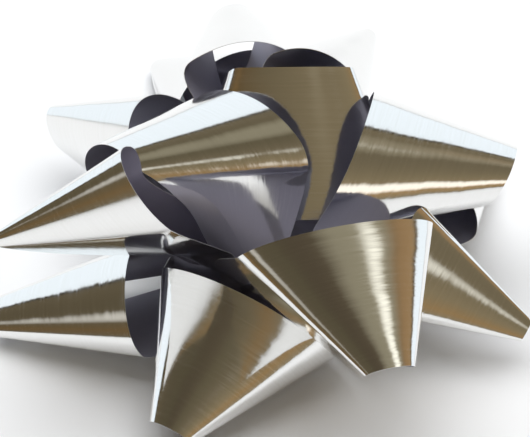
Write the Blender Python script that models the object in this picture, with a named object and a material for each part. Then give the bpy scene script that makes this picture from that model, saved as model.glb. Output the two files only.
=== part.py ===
"""Pre-made gift bow: cone-shaped ribbon loops stapled through a card disc that carries
a foam adhesive pad and its peel-off liner.

Row frame: metres, +Z up, origin at the centre of the liner's underside, on the staple's axis.
"""

import math

import bmesh
import bpy
import numpy as np

MM = 0.001

# Ribbon
RIBBON_WIDTH = 30.0 * MM
RIBBON_THICKNESS = 0.12 * MM
NECK_WIDTH = 7.0 * MM  # each leg narrows to this where the staple holds it
LEG_TAIL = 4.5 * MM  # ribbon left beyond the staple's axis
BEND_START = 95.0  # degrees round the cone, where a leg starts to lean to the staple
FLAT_INNER = 7.0 * MM  # within this radius the legs lie flat in the stack
FLAT_OUTER = 22.0 * MM
LEG_OFFSET = 0.15 * MM  # the two legs of a loop lie this far above and below its level
LOOP_ROWS = 24  # rows of facets on each side of a loop's top
LOOP_COLUMNS = 3

# Stack
STACK_BASE = 2.7 * MM
STACK_PITCH = 0.6 * MM

# Base
LINER_RADIUS = 15.0 * MM
LINER_THICKNESS = 0.15 * MM
LINER_TAB = (6.0 * MM, 7.0 * MM)  # half width, reach beyond the disc
TAB_AZIMUTH = 80.0  # degrees from +X
FOAM_RADIUS = 14.0 * MM
FOAM_HOLE_RADIUS = 4.5 * MM
FOAM_BOTTOM = 0.35 * MM
FOAM_TOP = 1.45 * MM
CARD_RADIUS = 16.0 * MM
CARD_BOTTOM = 1.65 * MM
CARD_TOP = 2.25 * MM

# Staple
WIRE_RADIUS = 0.3 * MM
STAPLE_HALF_SPAN = 2.6 * MM
STAPLE_HOLE_RADIUS = 0.5 * MM
CLINCH_REACH = 2.0 * MM
BEND_RADIUS = 0.45 * MM

# Loops, lowest in the stack first. Each lies on a cone: its apex (mm), the way it points
# (azimuth from +X, elevation, roll), its half angles across and up, the ribbon's distance
# from the apex (mm), and where each leg starts to narrow (degrees from the loop's top).
LOOPS = [
    ("lower_loop_right", (56.5, -28.5, 5.5), (342, -23, 41), (18, 6), 7.0,
     (100, 45)),
    ("lower_loop_left", (-67.5, -15.5, 0.0), (174, -14, -10), (17, 10), 15.0,
     (81, 114)),
    ("lower_loop_back_right", (50.5, 43.5, 1.0), (52, -10, -6), (26, 14), 5.0,
     (118, 107)),
    ("lower_loop_back_left", (-26.0, 75.0, 0.5), (126, -13, -1), (25, 18), 5.0,
     (98, 95)),
    ("lower_loop_front", (-22.0, -62.5, 4.5), (243, -11, -15), (24, 15), 9.5,
     (114, 94)),
    ("middle_loop_front", (25.5, -72.5, 27.0), (288, -14, -3), (25, 9), 10.0,
     (122, 122)),
    ("middle_loop_back_left", (-53.5, 44.0, 9.5), (142, -7, -11), (14, 22), 14.0,
     (104, 122)),
    ("middle_loop_left", (-54.5, -34.0, 34.5), (185, -17, -4), (14, 18), 4.5,
     (48, 100)),
    ("middle_loop_right", (65.0, 0.5, 25.0), (355, 2, -21), (25, 19), 16.5,
     (119, 130)),
    ("upper_loop_left", (-48.0, -23.0, 40.5), (214, 16, 29), (21, 15), 22.5,
     (94, 72)),
    ("upper_loop_back", (-8.0, 73.0, 22.0), (93, -2, 61), (18, 19), 17.5,
     (53, 74)),
    ("upper_loop_back_right", (23.5, 50.0, 27.0), (67, -6, 58), (19, 17), 5.5,
     (96, 112)),
    ("centre_loop", (4.0, 33.0, 70.0), (94, 63, -12), (20, 9), 34.0,
     (102, 53)),
]

# Colours and looks
MATERIALS = {
    "ribbon": ((0.72, 0.72, 0.70), 1.0, 0.12),
    "liner": ((0.90, 0.88, 0.82), 0.0, 0.45),
    "foam": ((0.93, 0.93, 0.91), 0.0, 0.9),
    "card": ((0.80, 0.78, 0.74), 0.0, 0.7),
    "wire": ((0.62, 0.62, 0.63), 1.0, 0.25),
}


def clear_scene():
    for obj in list(bpy.data.objects):
        bpy.data.objects.remove(obj, do_unlink=True)


def material(name):
    colour, metallic, roughness = MATERIALS[name]
    mat = bpy.data.materials.new(name)
    mat.use_nodes = True
    shader = mat.node_tree.nodes["Principled BSDF"]
    shader.inputs["Base Color"].default_value = (*colour, 1.0)
    shader.inputs["Metallic"].default_value = metallic
    shader.inputs["Roughness"].default_value = roughness
    return mat


def add_body(name, points, faces, mat):
    mesh = bpy.data.meshes.new(name)
    mesh.from_pydata([tuple(map(float, p)) for p in points], [], faces)
    bm = bmesh.new()
    bm.from_mesh(mesh)
    bmesh.ops.recalc_face_normals(bm, faces=bm.faces)
    if bm.calc_volume(signed=True) < 0:
        bmesh.ops.reverse_faces(bm, faces=bm.faces)
    bm.to_mesh(mesh)
    bm.free()
    mesh.materials.append(mat)
    obj = bpy.data.objects.new(name, mesh)
    bpy.context.collection.objects.link(obj)
    return obj


def unit(vectors):
    return vectors / np.linalg.norm(vectors, axis=-1, keepdims=True)


def smooth(x):
    x = np.clip(x, 0.0, 1.0)
    return x * x * (3.0 - 2.0 * x)


def cone_directions(pose, half_angles, around):
    """Directions from the apex along the cone's surface; around is 0 at the loop's top."""
    azimuth, elevation, roll = np.radians(pose)
    side_angle, up_angle = np.radians(half_angles)
    flat = math.cos(elevation)
    out = np.array([math.cos(azimuth) * flat, math.sin(azimuth) * flat, math.sin(elevation)])
    up = np.array([-math.cos(azimuth) * math.sin(elevation),
                   -math.sin(azimuth) * math.sin(elevation), flat])
    side = np.cross(out, up)
    top = up * math.cos(roll) + side * math.sin(roll)
    across = np.cross(out, top)
    return unit(-out
                + math.tan(side_angle) * np.sin(around)[:, None] * across
                + math.tan(up_angle) * np.cos(around)[:, None] * top)


def unrolled_angle(directions):
    """Angle travelled along the flattened cone, counted from the middle direction."""
    steps = np.arccos(np.clip((directions[1:] * directions[:-1]).sum(axis=1), -1.0, 1.0))
    angle = np.concatenate([[0.0], np.cumsum(steps)])
    return angle - angle[len(angle) // 2]


def loop_surface(apex, pose, half_angles, tip, tapers, level):
    """Grid of points over a loop's ribbon, [along its length][across its width]."""
    fine = np.linspace(-math.pi, math.pi, 721)
    directions = cone_directions(pose, half_angles, fine)
    angle = unrolled_angle(directions)

    # Rows: mostly even along the ribbon, and closer together round the tip.
    along = np.linspace(-1.0, 1.0, 2 * LOOP_ROWS + 1)
    even = np.interp(along * math.tan(angle[-1]), np.tan(angle), fine)
    around = 0.55 * even + 0.45 * math.pi * along
    rows = unit(np.stack([np.interp(around, fine, directions[:, i]) for i in range(3)], axis=1))
    turned = np.abs(around)

    # A straight ribbon laid on a cone keeps its distance from the apex once unrolled.
    rows /= np.cos(np.interp(around, fine, angle))[:, None]
    centre_line = apex + (tip + RIBBON_WIDTH / 2) * rows
    start = np.radians(np.where(around > 0, tapers[0], tapers[1]))
    narrowing = smooth((turned - start) / (math.pi - start))
    half_width = RIBBON_WIDTH / 2 + (NECK_WIDTH - RIBBON_WIDTH) / 2 * narrowing

    # The legs cross under the loop: turn their rows square and lean them to the staple.
    lean = smooth((turned - math.radians(BEND_START)) / math.radians(180 - BEND_START))
    heading = unit(np.gradient(centre_line, axis=0))
    square = unit(rows - (rows * heading).sum(axis=1, keepdims=True) * heading)
    rows += (square - rows) * lean[:, None]
    centre_line += (np.array([0.0, 0.0, level]) - centre_line[-1]) * lean[:, None]
    across = np.linspace(-1.0, 1.0, LOOP_COLUMNS + 1)
    points = centre_line[:, None] + (half_width[:, None] * across)[..., None] * rows[:, None]

    # Lay the legs flat near the staple, one just above the other.
    radius = np.hypot(points[..., 0], points[..., 1])
    leg = smooth((turned - math.radians(100)) / math.radians(50))[:, None]
    flat = leg * (1.0 - smooth((radius - FLAT_INNER) / (FLAT_OUTER - FLAT_INNER)))
    apart = np.sign(around) * smooth((turned - math.radians(100)) / math.radians(60))
    own = level + LEG_OFFSET * apart
    points[..., 2] += (own[:, None] - points[..., 2]) * flat
    return np.concatenate([[tail(points[0], points[1])], points, [tail(points[-1], points[-2])]])


def tail(end, before):
    """The leg's last row, carried on past the staple."""
    heading = end.mean(axis=0) - before.mean(axis=0)
    heading[2] = 0.0
    return end + unit(heading) * LEG_TAIL


def thickened(points, thickness):
    """A closed sheet round a grid of points, with matching triangles on its two sides."""
    normals = unit(np.cross(np.gradient(points, axis=0), np.gradient(points, axis=1)))
    rows, columns = points.shape[:2]
    count = rows * columns
    vertices = np.concatenate([(points + normals * thickness / 2).reshape(-1, 3),
                               (points - normals * thickness / 2).reshape(-1, 3)])
    grid = np.arange(count).reshape(rows, columns)
    faces = []
    for i in range(rows - 1):
        for j in range(columns - 1):
            a, b, c, d = grid[i, j], grid[i + 1, j], grid[i + 1, j + 1], grid[i, j + 1]
            for triangle in ((a, b, c), (a, c, d)):
                faces.append([int(v) for v in triangle])
                faces.append([int(v + count) for v in reversed(triangle)])
    rim = [*grid[0, :], *grid[1:, -1], *grid[-1, -2::-1], *grid[-2:0:-1, 0]]
    for a, b in zip(rim, rim[1:] + rim[:1]):
        faces.append([int(a), int(b), int(b + count), int(a + count)])
    return vertices, faces


def ribbon_loop(name, apex, pose, half_angles, tip, tapers, level, mat):
    surface = loop_surface(np.array(apex) * MM, pose, half_angles, tip * MM, tapers, level)
    return add_body(name, *thickened(surface, RIBBON_THICKNESS), mat)


def plate(name, outline, bottom, top, mat):
    count = len(outline)
    points = [(x, y, bottom) for x, y in outline] + [(x, y, top) for x, y in outline]
    faces = [list(range(count))[::-1], [count + i for i in range(count)]]
    for i in range(count):
        j = (i + 1) % count
        faces.append([i, j, count + j, count + i])
    return add_body(name, points, faces, mat)


def circle(radius, count=96):
    angles = [2 * math.pi * i / count for i in range(count)]
    return [(radius * math.cos(a), radius * math.sin(a)) for a in angles]


def liner_outline():
    """A disc with a straight-sided, round-ended pull tab towards TAB_AZIMUTH."""
    half, reach = LINER_TAB
    start = math.asin(half / LINER_RADIUS)
    arc = [start + (2 * math.pi - 2 * start) * i / 44 for i in range(45)]
    outline = [(LINER_RADIUS * math.cos(a), LINER_RADIUS * math.sin(a)) for a in arc]
    end = LINER_RADIUS + reach - half
    outline += [(end + half * math.cos(a), half * math.sin(a))
                for a in (math.radians(-90 + 15 * i) for i in range(13))]
    turn = math.radians(TAB_AZIMUTH)
    return [(x * math.cos(turn) - y * math.sin(turn), x * math.sin(turn) + y * math.cos(turn))
            for x, y in outline]


def ring(name, outer, inner, bottom, top, mat, count=96):
    points, faces = [], []
    for radius, z in ((outer, bottom), (outer, top), (inner, top), (inner, bottom)):
        points += [(x, y, z) for x, y in circle(radius, count)]
    for band in range(4):
        for i in range(count):
            j = (i + 1) % count
            low, high = band * count, (band + 1) % 4 * count
            faces.append([low + i, low + j, high + j, high + i])
    return add_body(name, points, faces, mat)


def swept_wire(name, path, radius, mat, sides=8):
    """A round wire along a flat path in the XZ plane, with capped ends."""
    path = [np.array(p) for p in path]
    points, faces = [], []
    for i, here in enumerate(path):
        before, after = path[max(i - 1, 0)], path[min(i + 1, len(path) - 1)]
        along = unit(after - before)
        up = np.cross(along, [0.0, 1.0, 0.0])
        for k in range(sides):
            angle = 2 * math.pi * (k + 0.5) / sides
            outwards = math.cos(angle) * up + math.sin(angle) * np.array([0.0, 1.0, 0.0])
            points.append(here + radius * outwards)
    for i in range(len(path) - 1):
        for k in range(sides):
            n = (k + 1) % sides
            faces.append([i * sides + k, i * sides + n, (i + 1) * sides + n, (i + 1) * sides + k])
    last = (len(path) - 1) * sides
    faces += [list(range(sides))[::-1], [last + k for k in range(sides)]]
    return add_body(name, points, faces, mat)


def rounded(corners, radius, steps=4):
    """The path through the corners, with each inner corner turned into an arc."""
    path = [corners[0]]
    for a, b, c in zip(corners, corners[1:], corners[2:]):
        a, b, c = map(np.array, (a, b, c))
        start, end = b + unit(a - b) * radius, b + unit(c - b) * radius
        for i in range(steps + 1):
            t = i / steps
            path.append((1 - t) ** 2 * start + 2 * t * (1 - t) * b + t ** 2 * end)
    return path + [corners[-1]]


def staple(top, mat):
    clinch = CARD_BOTTOM - WIRE_RADIUS - 0.1 * MM
    inner = STAPLE_HALF_SPAN - CLINCH_REACH
    corners = [(-inner, 0.0, clinch), (-STAPLE_HALF_SPAN, 0.0, clinch),
               (-STAPLE_HALF_SPAN, 0.0, top), (STAPLE_HALF_SPAN, 0.0, top),
               (STAPLE_HALF_SPAN, 0.0, clinch), (inner, 0.0, clinch)]
    return swept_wire("staple", rounded(corners, BEND_RADIUS), WIRE_RADIUS, mat)


def staple_cutter(top):
    """Two upright rods that cut the staple's holes."""
    bm = bmesh.new()
    for x in (-STAPLE_HALF_SPAN, STAPLE_HALF_SPAN):
        rod = bmesh.ops.create_cone(bm, cap_ends=True, segments=16, radius1=STAPLE_HOLE_RADIUS,
                                    radius2=STAPLE_HOLE_RADIUS, depth=top)
        bmesh.ops.translate(bm, verts=rod["verts"], vec=(x, 0.0, top / 2))
    mesh = bpy.data.meshes.new("staple_holes")
    bm.to_mesh(mesh)
    bm.free()
    cutter = bpy.data.objects.new("staple_holes", mesh)
    bpy.context.collection.objects.link(cutter)
    cutter.hide_render = True
    cutter.display_type = "WIRE"
    return cutter


def cut(obj, cutter):
    boolean = obj.modifiers.new("staple_holes", "BOOLEAN")
    boolean.operation = "DIFFERENCE"
    boolean.solver = "EXACT"
    boolean.object = cutter


def main():
    clear_scene()
    looks = {name: material(name) for name in MATERIALS}
    stack_top = STACK_BASE + STACK_PITCH * len(LOOPS)
    cutter = staple_cutter(stack_top)
    plate("release_liner", liner_outline(), 0.0, LINER_THICKNESS, looks["liner"])
    ring("foam_pad", FOAM_RADIUS, FOAM_HOLE_RADIUS, FOAM_BOTTOM, FOAM_TOP, looks["foam"])
    cut(plate("backing_card", circle(CARD_RADIUS), CARD_BOTTOM, CARD_TOP, looks["card"]), cutter)
    for i, (name, apex, pose, half_angles, tip, tapers) in enumerate(LOOPS):
        level = STACK_BASE + STACK_PITCH * i
        ribbon = ribbon_loop(name, apex, pose, half_angles, tip, tapers, level, looks["ribbon"])
        cut(ribbon, cutter)
    staple(stack_top + WIRE_RADIUS, looks["wire"])


main()
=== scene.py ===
"""Looks of the pre-made gift bow: mirror-bright film loops round a stapled card base."""

import math

import bpy
import numpy as np
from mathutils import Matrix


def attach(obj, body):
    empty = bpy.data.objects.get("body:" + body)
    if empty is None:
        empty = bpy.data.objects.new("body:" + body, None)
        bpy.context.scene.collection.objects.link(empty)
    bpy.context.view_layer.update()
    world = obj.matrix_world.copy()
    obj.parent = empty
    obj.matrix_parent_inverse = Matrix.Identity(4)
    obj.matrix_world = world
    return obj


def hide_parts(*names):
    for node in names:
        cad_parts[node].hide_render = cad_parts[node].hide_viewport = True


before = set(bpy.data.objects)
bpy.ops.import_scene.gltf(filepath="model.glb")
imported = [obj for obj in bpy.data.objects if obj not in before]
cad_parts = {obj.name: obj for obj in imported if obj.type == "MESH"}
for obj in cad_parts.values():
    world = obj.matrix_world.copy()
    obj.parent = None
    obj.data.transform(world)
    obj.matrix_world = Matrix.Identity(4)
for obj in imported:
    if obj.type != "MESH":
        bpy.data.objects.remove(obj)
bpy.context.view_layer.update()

MM = 0.001

# Ribbon, as the CAD loops have it
RIBBON_WIDTH = 30.0 * MM
NECK_WIDTH = 7.0 * MM
LEG_TAIL = 4.5 * MM
BEND_START = 95.0  # degrees round the cone, where a leg starts to lean to the staple
FLAT_INNER = 7.0 * MM
FLAT_OUTER = 22.0 * MM
LEG_OFFSET = 0.15 * MM
STACK_BASE = 2.7 * MM
STACK_PITCH = 0.6 * MM

# The film's own detail
FILM_THICKNESS = 0.09 * MM
LOOP_ROWS = 84  # rows on each side of a loop's top
LOOP_COLUMNS = 14
TILE = 30.0 * MM  # one UV unit

# Stage
CAMERA_DISTANCE = 0.62
CAMERA_ELEVATION = 38.0  # degrees above the horizon
CAMERA_LENS = 212.7  # mm on the 36 mm sensor
AIM_HEIGHT = 15.0 * MM
FLOOR_RADIUS = 3.0
WALL_SLOPE = 1.03  # the white back wall's height for each metre it stands away
TOP_POWER = 20.0

# The room round the bow, brightest where a softbox stands: azimuth from the front (to the
# right positive), elevation, angular radius (degrees), softness, colour, strength.
SOFT_LAMPS = [
    ((43, 19), 4.0, 5.0, (1.0, 1.0, 0.96), 1.0),
    ((35, 47), 3.0, 4.0, (1.0, 1.0, 0.92), 0.65),
    ((113, 60), 2.0, 3.5, (1.0, 1.0, 0.92), 0.95),
    ((6, 50), 5.0, 9.0, (1.0, 0.98, 0.80), 0.12),
    ((-71, 38), 5.0, 6.0, (1.0, 0.99, 0.94), 0.55),
    ((122, 65), 9.0, 9.0, (1.0, 0.94, 0.70), 0.16),
    ((113, 38), 6.0, 9.0, (1.0, 0.35, 0.02), 0.12),
    ((47, 8), 4.0, 6.0, (1.0, 0.45, 0.05), 0.08),
    ((-75, 6), 5.0, 7.0, (1.0, 0.55, 0.15), 0.10),
]

# Colours of the room by height: sine of the elevation, colour
ROOM = [
    (0.00, (0.26, 0.21, 0.13)),
    (0.25, (0.31, 0.20, 0.09)),
    (0.50, (0.24, 0.19, 0.11)),
    (0.80, (0.16, 0.13, 0.08)),
    (0.95, (0.12, 0.10, 0.06)),
    (1.00, (0.09, 0.07, 0.045)),
]

# Loops, lowest in the stack first: CAD node, apex (mm), the way it points (azimuth from +X,
# elevation, roll), half angles across and up, tip to ribbon (mm), where each leg narrows.
LOOPS = [
    ("lower_loop_right", (56.5, -28.5, 5.5), (342, -23, 41), (18, 6), 7.0,
     (100, 45)),
    ("lower_loop_left", (-67.5, -15.5, 0.0), (174, -14, -10), (17, 10), 15.0,
     (81, 114)),
    ("lower_loop_back_right", (50.5, 43.5, 1.0), (52, -10, -6), (26, 14), 5.0,
     (118, 107)),
    ("lower_loop_back_left", (-26.0, 75.0, 0.5), (126, -13, -1), (25, 18), 5.0,
     (98, 95)),
    ("lower_loop_front", (-22.0, -62.5, 4.5), (243, -11, -15), (24, 15), 9.5,
     (114, 94)),
    ("middle_loop_front", (25.5, -72.5, 27.0), (288, -14, -3), (25, 9), 10.0,
     (122, 122)),
    ("middle_loop_back_left", (-53.5, 44.0, 9.5), (142, -7, -11), (14, 22), 14.0,
     (104, 122)),
    ("middle_loop_left", (-54.5, -34.0, 34.5), (185, -17, -4), (14, 18), 4.5,
     (48, 100)),
    ("middle_loop_right", (65.0, 0.5, 25.0), (355, 2, -21), (25, 19), 16.5,
     (119, 130)),
    ("upper_loop_left", (-48.0, -23.0, 40.5), (214, 16, 29), (21, 15), 22.5,
     (94, 72)),
    ("upper_loop_back", (-8.0, 73.0, 22.0), (93, -2, 61), (18, 19), 17.5,
     (53, 74)),
    ("upper_loop_back_right", (23.5, 50.0, 27.0), (67, -6, 58), (19, 17), 5.5,
     (96, 112)),
    ("centre_loop", (4.0, 33.0, 70.0), (94, 63, -12), (20, 9), 34.0,
     (102, 53)),
]


# --- Geometry of a loop -----------------------------------------------------------------

def unit(vectors):
    return vectors / np.linalg.norm(vectors, axis=-1, keepdims=True)


def smooth(x):
    x = np.clip(x, 0.0, 1.0)
    return x * x * (3.0 - 2.0 * x)


def cone_directions(pose, half_angles, around):
    """Directions from the apex along the cone's surface; around is 0 at the loop's top."""
    azimuth, elevation, roll = np.radians(pose)
    side_angle, up_angle = np.radians(half_angles)
    flat = math.cos(elevation)
    out = np.array([math.cos(azimuth) * flat, math.sin(azimuth) * flat, math.sin(elevation)])
    up = np.array([-math.cos(azimuth) * math.sin(elevation),
                   -math.sin(azimuth) * math.sin(elevation), flat])
    side = np.cross(out, up)
    top = up * math.cos(roll) + side * math.sin(roll)
    across = np.cross(out, top)
    return unit(-out
                + math.tan(side_angle) * np.sin(around)[:, None] * across
                + math.tan(up_angle) * np.cos(around)[:, None] * top)


def unrolled_angle(directions):
    """Angle travelled along the flattened cone, counted from the middle direction."""
    steps = np.arccos(np.clip((directions[1:] * directions[:-1]).sum(axis=1), -1.0, 1.0))
    angle = np.concatenate([[0.0], np.cumsum(steps)])
    return angle - angle[len(angle) // 2]


def tail(end, before):
    """The leg's last row, carried on past the staple."""
    heading = end.mean(axis=0) - before.mean(axis=0)
    heading[2] = 0.0
    return end + unit(heading) * LEG_TAIL


def loop_surface(apex, pose, half_angles, tip, tapers, level):
    """Grid of points over a loop's ribbon, [along its length][across its width]."""
    fine = np.linspace(-math.pi, math.pi, 721)
    directions = cone_directions(pose, half_angles, fine)
    angle = unrolled_angle(directions)

    along = np.linspace(-1.0, 1.0, 2 * LOOP_ROWS + 1)
    even = np.interp(along * math.tan(angle[-1]), np.tan(angle), fine)
    around = 0.55 * even + 0.45 * math.pi * along
    rows = unit(np.stack([np.interp(around, fine, directions[:, i]) for i in range(3)], axis=1))
    turned = np.abs(around)

    rows /= np.cos(np.interp(around, fine, angle))[:, None]
    centre_line = apex + (tip + RIBBON_WIDTH / 2) * rows
    start = np.radians(np.where(around > 0, tapers[0], tapers[1]))
    narrowing = smooth((turned - start) / (math.pi - start))
    half_width = RIBBON_WIDTH / 2 + (NECK_WIDTH - RIBBON_WIDTH) / 2 * narrowing

    lean = smooth((turned - math.radians(BEND_START)) / math.radians(180 - BEND_START))
    heading = unit(np.gradient(centre_line, axis=0))
    square = unit(rows - (rows * heading).sum(axis=1, keepdims=True) * heading)
    rows += (square - rows) * lean[:, None]
    centre_line += (np.array([0.0, 0.0, level]) - centre_line[-1]) * lean[:, None]
    across = np.linspace(-1.0, 1.0, LOOP_COLUMNS + 1)
    points = centre_line[:, None] + (half_width[:, None] * across)[..., None] * rows[:, None]

    radius = np.hypot(points[..., 0], points[..., 1])
    leg = smooth((turned - math.radians(100)) / math.radians(50))[:, None]
    flat = leg * (1.0 - smooth((radius - FLAT_INNER) / (FLAT_OUTER - FLAT_INNER)))
    apart = np.sign(around) * smooth((turned - math.radians(100)) / math.radians(60))
    own = level + LEG_OFFSET * apart
    points[..., 2] += (own[:, None] - points[..., 2]) * flat
    return np.concatenate([[tail(points[0], points[1])], points, [tail(points[-1], points[-2])]])


def film_mesh(name, points, index):
    """A thin closed film: slot 0 outside, slot 1 inside, slot 2 cut edges; UVs in tiles."""
    inward = unit(np.cross(np.gradient(points, axis=0), np.gradient(points, axis=1)))
    rows, columns = points.shape[:2]
    count = rows * columns
    half = inward * FILM_THICKNESS / 2
    vertices = np.concatenate([(points + half).reshape(-1, 3), (points - half).reshape(-1, 3)])
    grid = np.arange(count).reshape(rows, columns)
    a, b = grid[:-1, :-1].ravel(), grid[1:, :-1].ravel()
    c, d = grid[1:, 1:].ravel(), grid[:-1, 1:].ravel()
    inside = np.stack([a, b, c, d], axis=1)
    outside = np.stack([d, c, b, a], axis=1) + count
    rim = np.concatenate([grid[0, :], grid[1:, -1], grid[-1, -2::-1], grid[-2:0:-1, 0]])
    after = np.roll(rim, -1)
    edge = np.stack([rim, after, after + count, rim + count], axis=1)
    faces = np.concatenate([inside, outside, edge])

    mesh = bpy.data.meshes.new(name)
    mesh.from_pydata(vertices.tolist(), [], faces.tolist())
    slots = np.repeat([1, 0, 2], [len(inside), len(outside), len(edge)])
    mesh.polygons.foreach_set("material_index", slots.astype(np.int32))

    middle = points[:, columns // 2]
    length = np.concatenate([[0.0], np.cumsum(np.linalg.norm(np.diff(middle, axis=0), axis=1))])
    u = np.repeat(length - length[rows // 2], columns) / TILE + 7.0 * index
    v = np.tile(np.linspace(0.0, 1.0, columns), rows) * RIBBON_WIDTH / TILE + 3.0 * index
    uv = np.tile(np.stack([u, v], axis=1), (2, 1))
    layer = mesh.uv_layers.new(name="ribbon")
    layer.data.foreach_set("uv", uv[faces.ravel()].ravel().astype(np.float32))
    mesh.shade_smooth()
    mesh.set_sharp_from_angle(angle=math.radians(50))
    return mesh


# --- Materials --------------------------------------------------------------------------

def new_material(name):
    mat = bpy.data.materials.new(name)
    mat.use_nodes = True
    tree = mat.node_tree
    return mat, tree, tree.nodes["Principled BSDF"]


def add(tree, kind, **values):
    """A node of that kind, with its settings and its inputs' constant values."""
    node = tree.nodes.new(kind)
    for key, value in values.items():
        if hasattr(node, key):
            setattr(node, key, value)
        else:
            node.inputs[key.replace("_", " ")].default_value = value
    return node


def math_node(tree, operation, first, second=None, third=None):
    node = tree.nodes.new("ShaderNodeMath")
    node.operation = operation
    for socket, value in zip(node.inputs, (first, second, third)):
        if value is None:
            continue
        if hasattr(value, "is_output"):
            tree.links.new(value, socket)
        else:
            socket.default_value = value
    return node.outputs[0]


def vector_node(tree, operation, first, second=None, scale=None):
    node = tree.nodes.new("ShaderNodeVectorMath")
    node.operation = operation
    sockets = (node.inputs[0], node.inputs[1], node.inputs[3])
    for socket, value in zip(sockets, (first, second, scale)):
        if value is None:
            continue
        if hasattr(value, "is_output"):
            tree.links.new(value, socket)
        else:
            socket.default_value = value
    return node.outputs["Value"] if operation == "DOT_PRODUCT" else node.outputs["Vector"]


def noise(tree, coordinates, stretch, detail=2.0, roughness=0.5):
    """Noise on the UVs, stretched to so many grains a tile along and across the ribbon."""
    mapping = add(tree, "ShaderNodeMapping", Scale=(stretch[0], stretch[1], 1.0))
    tree.links.new(coordinates, mapping.inputs["Vector"])
    texture = add(tree, "ShaderNodeTexNoise", Scale=1.0, Detail=detail, Roughness=roughness)
    tree.links.new(mapping.outputs["Vector"], texture.inputs["Vector"])
    return texture.outputs["Fac"]


def remap(tree, value, low, high, to_low, to_high):
    node = add(tree, "ShaderNodeMapRange", From_Min=low, From_Max=high, To_Min=to_low, To_Max=to_high)
    tree.links.new(value, node.inputs["Value"])
    return node.outputs["Result"]


def tilted_normal(tree, coordinates, tilts):
    """The surface normal, leaned along and across the ribbon by noise: [(stretch, along, across)]."""
    normal = tree.nodes.new("ShaderNodeNewGeometry").outputs["Normal"]
    tangent = add(tree, "ShaderNodeTangent", direction_type="UV_MAP", uv_map="ribbon").outputs[0]
    sideways = vector_node(tree, "CROSS_PRODUCT", normal, tangent)
    leaned = normal
    for stretch, along, across in tilts:
        lean = math_node(tree, "SUBTRACT", noise(tree, coordinates, stretch), 0.5)
        for axis, amount in ((tangent, along), (sideways, across)):
            offset = vector_node(tree, "SCALE", axis, scale=math_node(tree, "MULTIPLY", lean, amount))
            leaned = vector_node(tree, "ADD", leaned, offset)
    return vector_node(tree, "NORMALIZE", leaned)


def film_outside():
    """Mirror-bright metallised film, with drawing lines along the ribbon."""
    mat, tree, shader = new_material("film_outside")
    uv = add(tree, "ShaderNodeUVMap", uv_map="ribbon").outputs["UV"]
    shader.inputs["Metallic"].default_value = 1.0
    lines = noise(tree, uv, (1.5, 70.0), detail=3.0, roughness=0.6)
    tree.links.new(remap(tree, lines, 0.3, 0.7, 0.05, 0.16), shader.inputs["Roughness"])
    tint = add(tree, "ShaderNodeMix", data_type="RGBA")
    tint.inputs["A"].default_value = (0.82, 0.82, 0.80, 1.0)
    tint.inputs["B"].default_value = (0.92, 0.92, 0.92, 1.0)
    tree.links.new(lines, tint.inputs["Factor"])
    tree.links.new(tint.outputs["Result"], shader.inputs["Base Color"])
    tilts = [((0.8, 95.0), 0.03, 0.02), ((1.2, 26.0), 0.04, 0.02), ((1.5, 3.0), 0.07, 0.05)]
    tree.links.new(tilted_normal(tree, uv, tilts), shader.inputs["Normal"])
    return mat


def film_inside():
    """The film's uncoated side: dull violet-grey, with a satin sheen along the ribbon."""
    mat, tree, shader = new_material("film_inside")
    uv = add(tree, "ShaderNodeUVMap", uv_map="ribbon").outputs["UV"]
    shader.inputs["Metallic"].default_value = 0.55
    lines = noise(tree, uv, (2.0, 60.0), detail=3.0, roughness=0.6)
    tree.links.new(remap(tree, lines, 0.3, 0.7, 0.38, 0.50), shader.inputs["Roughness"])
    tint = add(tree, "ShaderNodeMix", data_type="RGBA")
    tint.inputs["A"].default_value = (0.34, 0.33, 0.41, 1.0)
    tint.inputs["B"].default_value = (0.39, 0.38, 0.46, 1.0)
    tree.links.new(lines, tint.inputs["Factor"])
    tree.links.new(tint.outputs["Result"], shader.inputs["Base Color"])
    tilts = [((1.0, 60.0), 0.03, 0.04), ((2.0, 4.0), 0.04, 0.04)]
    tree.links.new(tilted_normal(tree, uv, tilts), shader.inputs["Normal"])
    return mat


def film_edge():
    """The slit edge of the film, a little rougher than its faces."""
    mat, tree, shader = new_material("film_edge")
    shader.inputs["Base Color"].default_value = (0.75, 0.75, 0.75, 1.0)
    shader.inputs["Metallic"].default_value = 0.8
    place = tree.nodes.new("ShaderNodeTexCoord").outputs["Object"]
    grain = add(tree, "ShaderNodeTexNoise", Scale=900.0, Detail=2.0)
    tree.links.new(place, grain.inputs["Vector"])
    roughness = remap(tree, grain.outputs["Fac"], 0.3, 0.7, 0.25, 0.45)
    tree.links.new(roughness, shader.inputs["Roughness"])
    return mat


def grained(name, colours, roughness, scale, bump, metallic=0.0):
    """A solid material whose colour, roughness and relief follow fine 3-D noise."""
    mat, tree, shader = new_material(name)
    shader.inputs["Metallic"].default_value = metallic
    place = tree.nodes.new("ShaderNodeTexCoord").outputs["Object"]
    grain = add(tree, "ShaderNodeTexNoise", Scale=scale, Detail=4.0, Roughness=0.6)
    tree.links.new(place, grain.inputs["Vector"])
    tint = add(tree, "ShaderNodeMix", data_type="RGBA")
    tint.inputs["A"].default_value = (*colours[0], 1.0)
    tint.inputs["B"].default_value = (*colours[1], 1.0)
    spread = remap(tree, grain.outputs["Fac"], 0.3, 0.7, 0.0, 1.0)
    tree.links.new(spread, tint.inputs["Factor"])
    tree.links.new(tint.outputs["Result"], shader.inputs["Base Color"])
    tree.links.new(remap(tree, spread, 0.0, 1.0, *roughness), shader.inputs["Roughness"])
    relief = add(tree, "ShaderNodeBump", Distance=bump)
    tree.links.new(grain.outputs["Fac"], relief.inputs["Height"])
    tree.links.new(relief.outputs["Normal"], shader.inputs["Normal"])
    return mat


# --- Stage ------------------------------------------------------------------------------


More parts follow.
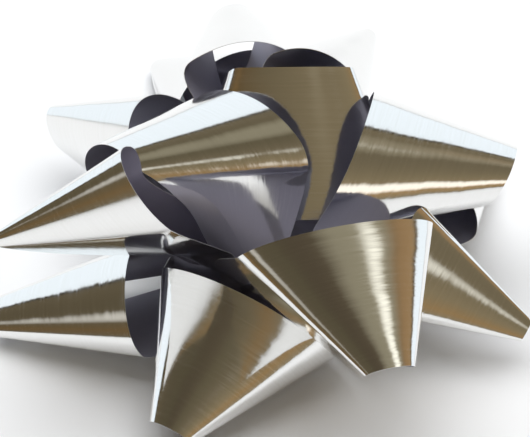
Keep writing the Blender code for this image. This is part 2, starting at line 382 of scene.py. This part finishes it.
def add_camera():
    camera = bpy.data.objects.new("camera", bpy.data.cameras.new("camera"))
    bpy.context.collection.objects.link(camera)
    tilt = math.radians(CAMERA_ELEVATION)
    camera.location = (0.0, -math.cos(tilt) * CAMERA_DISTANCE,
                       AIM_HEIGHT + math.sin(tilt) * CAMERA_DISTANCE)
    camera.rotation_euler = (math.radians(90) - tilt, 0.0, 0.0)
    camera.data.lens = CAMERA_LENS
    camera.data.sensor_width = 36.0
    camera.data.clip_start = 0.01
    bpy.context.scene.camera = camera


def add_floor():
    mesh = bpy.data.meshes.new("floor")
    corners = [(FLOOR_RADIUS * math.cos(a), FLOOR_RADIUS * math.sin(a), 0.0)
               for a in np.radians(np.arange(0, 360, 7.5))]
    mesh.from_pydata(corners, [], [list(range(len(corners)))])
    floor = bpy.data.objects.new("floor", mesh)
    bpy.context.collection.objects.link(floor)
    mat, tree, shader = new_material("floor_paper")
    shader.inputs["Base Color"].default_value = (0.865, 0.885, 0.92, 1.0)
    shader.inputs["Roughness"].default_value = 0.9
    shader.inputs["Specular IOR Level"].default_value = 0.1
    mesh.materials.append(mat)
    floor.location.z = -0.0002


def add_top_light():
    """A broad overhead softbox that lights the floor and the inner faces."""
    data = bpy.data.lights.new("top_softbox", "AREA")
    data.shape = "DISK"
    data.size = 1.7
    data.energy = TOP_POWER
    light = bpy.data.objects.new("top_softbox", data)
    bpy.context.collection.objects.link(light)
    light.location = (0.0, 0.25, 1.2)
    light.rotation_euler = (-math.atan2(0.25, 1.2), 0.0, 0.0)
    light.visible_glossy = False
    light.visible_camera = False


def direction(azimuth, elevation):
    a, e = math.radians(azimuth), math.radians(elevation)
    return (math.sin(a) * math.cos(e), -math.cos(a) * math.cos(e), math.sin(e))


def add_room():
    world = bpy.data.worlds.new("room")
    bpy.context.scene.world = world
    world.use_nodes = True
    tree = world.node_tree
    background = tree.nodes["Background"]
    ray = tree.nodes.new("ShaderNodeTexCoord").outputs["Generated"]
    parts = tree.nodes.new("ShaderNodeSeparateXYZ")
    tree.links.new(ray, parts.inputs[0])

    ramp = tree.nodes.new("ShaderNodeValToRGB")
    tree.links.new(parts.outputs["Z"], ramp.inputs["Fac"])
    stops = ramp.color_ramp.elements
    while len(stops) < len(ROOM):
        stops.new(0.5)
    for stop, (height, colour) in zip(stops, ROOM):
        stop.position = height
        stop.color = (*colour, 1.0)
    colour = ramp.outputs["Color"]

    # The left of the room is darker.
    shade = remap(tree, parts.outputs["X"], -0.9, 0.1, 0.45, 1.0)
    colour = vector_node(tree, "SCALE", colour, scale=shade)

    for (azimuth, elevation), radius, softness, tint, strength in SOFT_LAMPS:
        facing = vector_node(tree, "DOT_PRODUCT", ray, direction(azimuth, elevation))
        outer, inner = (math.cos(math.radians(x)) for x in (radius + softness, radius))
        glow = remap(tree, facing, outer, inner, 0.0, strength)
        lamp = vector_node(tree, "SCALE", tint, scale=glow)
        colour = vector_node(tree, "ADD", colour, lamp)

    # A white wall behind, with a dark gap along its top edge.
    above = math_node(tree, "MULTIPLY_ADD", parts.outputs["Y"], -WALL_SLOPE, parts.outputs["Z"])
    gap = math_node(tree, "MULTIPLY", remap(tree, above, 0.0, 0.03, 0.0, 1.0),
                    remap(tree, above, 0.05, 0.12, 1.0, 0.0))
    colour = vector_node(tree, "SCALE", colour, scale=remap(tree, gap, 0.0, 1.0, 1.0, 0.25))
    wall = remap(tree, above, -0.02, 0.01, 1.0, 0.0)
    mix = add(tree, "ShaderNodeMix", data_type="RGBA")
    tree.links.new(wall, mix.inputs["Factor"])
    tree.links.new(colour, mix.inputs["A"])
    mix.inputs["B"].default_value = (0.98, 1.06, 1.12, 1.0)
    tree.links.new(mix.outputs["Result"], background.inputs["Color"])


# --- The bow ----------------------------------------------------------------------------

def add_loops():
    looks = [film_outside(), film_inside(), film_edge()]
    for index, (name, apex, pose, half_angles, tip, tapers) in enumerate(LOOPS):
        level = STACK_BASE + STACK_PITCH * index
        points = loop_surface(np.array(apex) * MM, pose, half_angles, tip * MM, tapers, level)
        loop = bpy.data.objects.new("film_" + name, film_mesh("film_" + name, points, index))
        bpy.context.collection.objects.link(loop)
        for look in looks:
            loop.data.materials.append(look)
        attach(loop, "bow")
        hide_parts(name)


def dress_base():
    card = grained("pressed_card", ((0.70, 0.67, 0.62), (0.82, 0.80, 0.76)), (0.75, 0.9), 1600.0, 2e-5)
    foam = grained("closed_foam", ((0.86, 0.86, 0.84), (0.96, 0.96, 0.94)), (0.8, 0.95), 2600.0, 6e-5)
    paper = grained("release_paper", ((0.86, 0.83, 0.74), (0.90, 0.88, 0.81)), (0.35, 0.5), 700.0, 8e-6)
    wire = grained("bright_wire", ((0.55, 0.55, 0.56), (0.70, 0.70, 0.70)), (0.2, 0.35), 2500.0, 4e-6, 1.0)
    dressed = {"backing_card": card, "foam_pad": foam, "release_liner": paper, "staple": wire}
    for name, look in dressed.items():
        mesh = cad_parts[name].data
        mesh.materials.clear()
        mesh.materials.append(look)


bpy.context.scene.view_settings.view_transform = "Standard"
add_camera()
add_floor()
add_top_light()
add_room()
add_loops()
dress_base()
